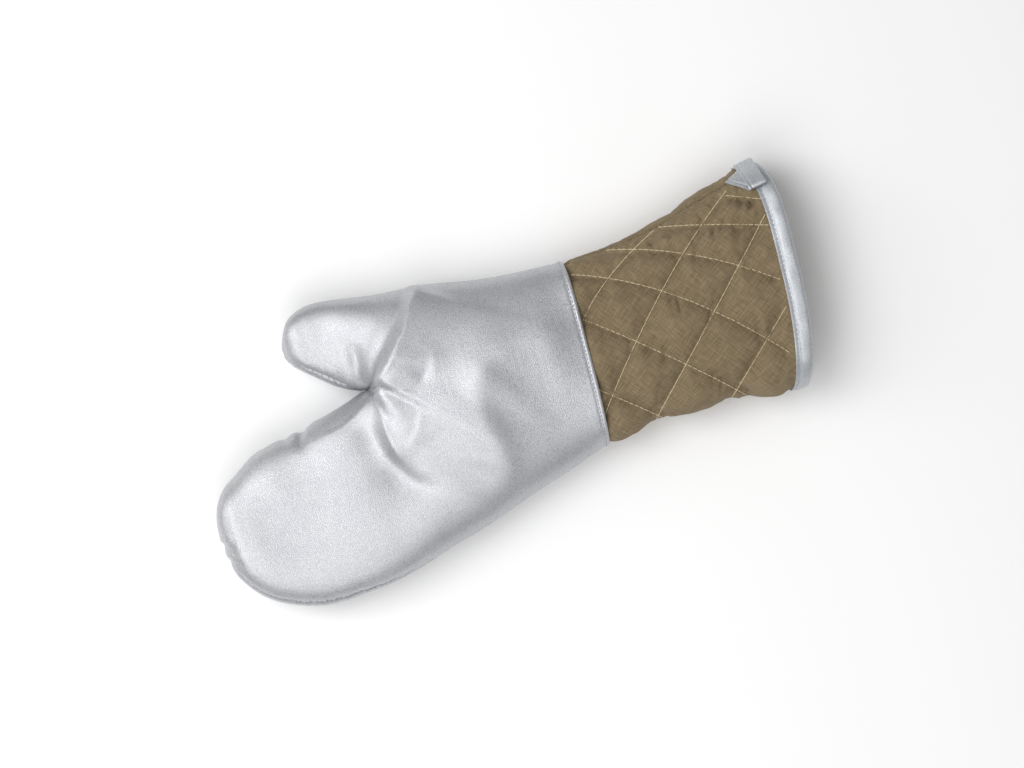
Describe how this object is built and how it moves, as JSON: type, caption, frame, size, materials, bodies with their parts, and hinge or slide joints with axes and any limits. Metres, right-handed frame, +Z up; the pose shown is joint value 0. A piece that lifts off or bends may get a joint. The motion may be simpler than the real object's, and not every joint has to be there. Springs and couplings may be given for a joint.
{
  "type": "oven glove",
  "caption": "Padded oven glove with a thumb, a smooth coated hand, a flared quilted fabric cuff, a bound open rim and a folded hanging loop, lying on its back.",
  "frame": {"origin": "middle of the glove's bounding box, on the surface it lies on", "axes": "+X along the wrist and out of the cuff's opening, square to the wrist hem; +Y towards the thumb; +Z up from the surface, from the back panel to the front panel"},
  "size_m": [0.4074, 0.2102, 0.0609],
  "materials": {
    "coated_cloth": "satin silver coated cloth with a fine pebble grain",
    "cuff_cotton": "matt plain-weave cotton, quilted in diamonds with cream thread",
    "binding_tape": "satin silver coated tape"
  },
  "bodies": {
    "root": {"hand_front_panel": "coated_cloth", "hand_back_panel": "coated_cloth", "cuff_front_panel": "cuff_cotton", "cuff_back_panel": "cuff_cotton", "cuff_binding": "binding_tape", "hanging_loop": "binding_tape"}
  },
  "joints": []
}
